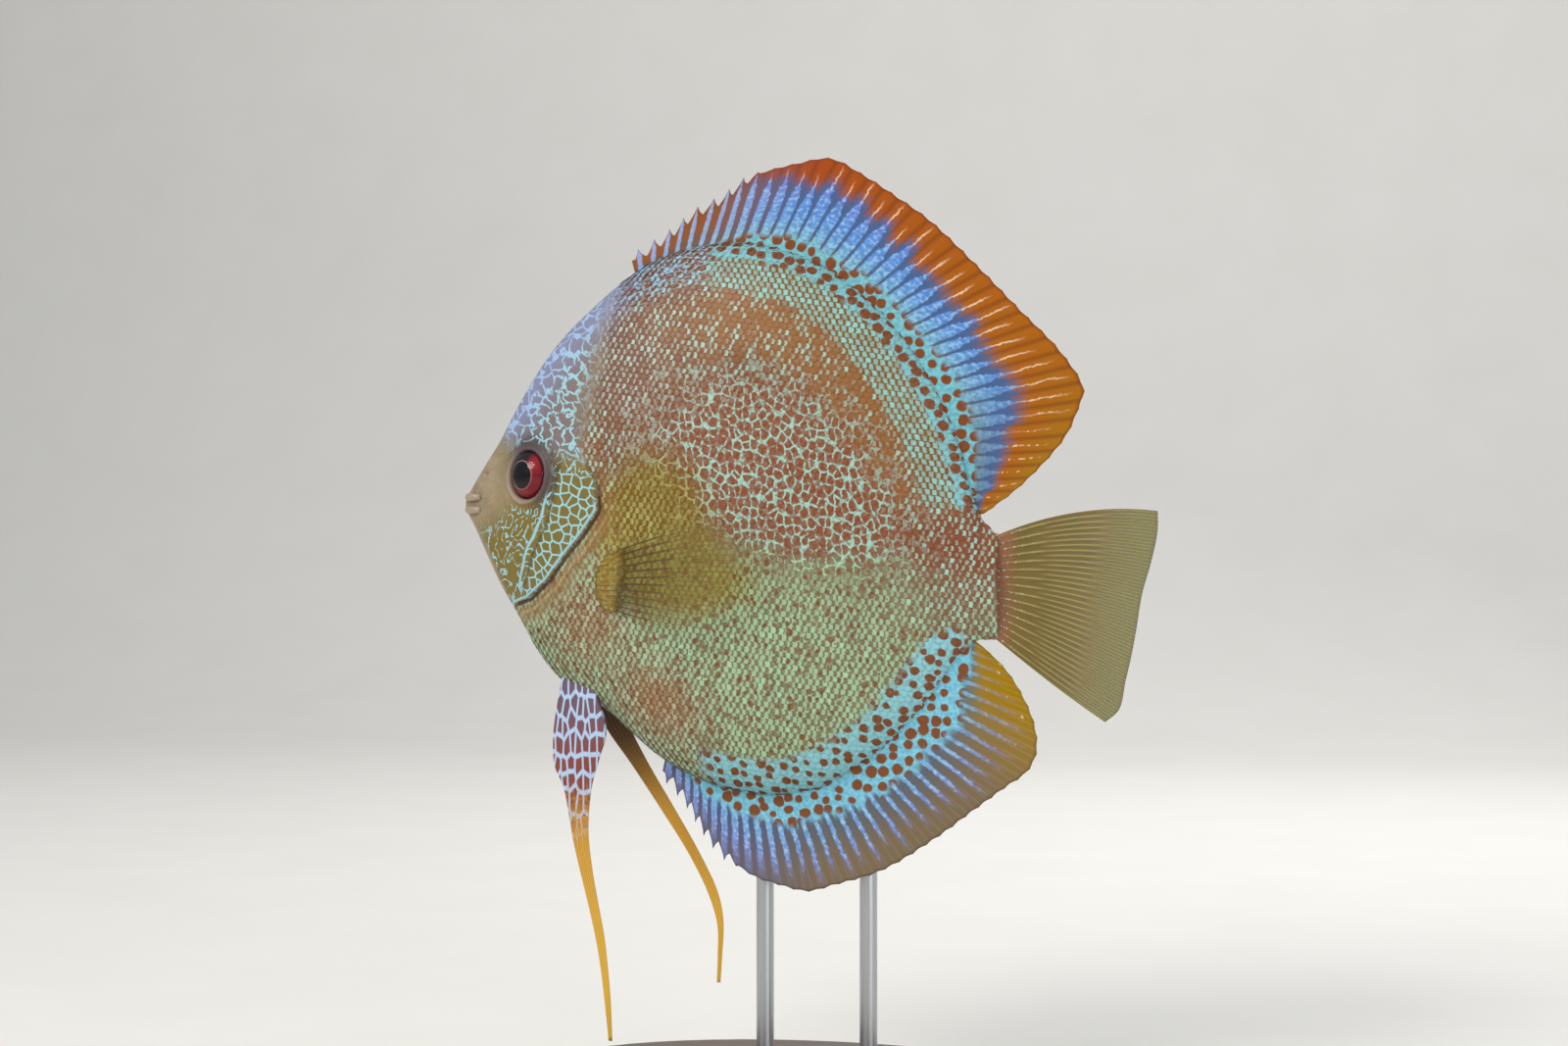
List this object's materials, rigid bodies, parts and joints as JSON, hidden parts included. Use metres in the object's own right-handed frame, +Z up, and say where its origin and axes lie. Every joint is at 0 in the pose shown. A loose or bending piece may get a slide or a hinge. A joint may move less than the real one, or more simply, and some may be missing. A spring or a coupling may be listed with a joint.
{
  "type": "discus fish model",
  "caption": "Tall disc-shaped tropical fish, a still life-size museum model with spread fins and trailing pelvic fins, held over an oval plinth by two rods.",
  "frame": {"origin": "on the floor under the middle of the whole model, at the underside of the plinth", "axes": "+Z up; the snout points to -X and the tail fin to +X; the left flank faces -Y and the body's mid plane is Y = 0"},
  "size_m": [0.1597, 0.074, 0.2125],
  "materials": {
    "skin": "moist scaled skin, turquoise net and red-brown spots over ochre",
    "gill_cover": "moist skin, olive brown cells in a turquoise net",
    "lips": "smooth pale pinkish tan",
    "eye": "clear wet cornea over a crimson iris",
    "dorsal_fin": "satin membrane, blue ray stripes and orange margin",
    "anal_fin": "satin membrane, turquoise blue with wavy lines and olive margin",
    "tail_fin": "translucent olive membrane with lighter rays",
    "pectoral_fin": "translucent yellow membrane with dark brown rays",
    "pelvic_fin": "satin, blue-white net over red brown fading to yellow",
    "stand_wood": "dark stained wood, satin varnish",
    "stand_steel": "fine brushed steel"
  },
  "bodies": {
    "root": {"head": "skin", "gill_cover_left": "gill_cover", "gill_cover_right": "gill_cover", "upper_lip": "lips", "lower_lip": "lips", "eye_left": "eye", "eye_right": "eye", "trunk": "skin", "tail_stalk": "skin", "dorsal_fin": "dorsal_fin", "anal_fin": "anal_fin", "tail_fin": "tail_fin", "pectoral_fin_left": "pectoral_fin", "pectoral_fin_right": "pectoral_fin", "pelvic_fin_left": "pelvic_fin", "pelvic_fin_right": "pelvic_fin", "stand_base": "stand_wood", "stand_rod_front": "stand_steel", "stand_rod_rear": "stand_steel"}
  },
  "joints": []
}
